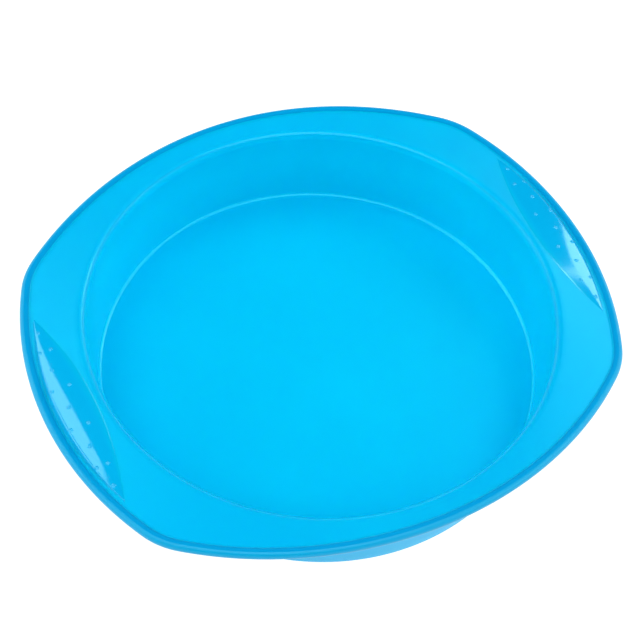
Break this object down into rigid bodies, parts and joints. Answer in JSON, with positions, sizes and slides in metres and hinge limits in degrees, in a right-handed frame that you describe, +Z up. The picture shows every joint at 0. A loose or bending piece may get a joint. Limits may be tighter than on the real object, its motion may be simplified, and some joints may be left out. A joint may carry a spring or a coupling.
{
  "type": "baking pan",
  "caption": "Round flexible baking pan: flat floor, steep wall and a wide flange drawn out into handle wings with pimpled grip pads, edged by a round bead.",
  "frame": {"origin": "centre of the flat base, on the plane that the pan stands on", "axes": "+X through both handle wings, +Y across the plain sides, +Z up out of the cavity"},
  "size_m": [0.3009, 0.2717, 0.0537],
  "materials": {
    "silicone_satin": "satin translucent silicone",
    "silicone_rim": "satin silicone, darker where it is thick",
    "silicone_gloss": "polished silicone"
  },
  "bodies": {
    "root": {"pan_floor": "silicone_satin", "side_wall": "silicone_satin", "flange": "silicone_satin", "rim_bead": "silicone_rim", "left_grip": "silicone_gloss", "right_grip": "silicone_gloss"}
  },
  "joints": []
}
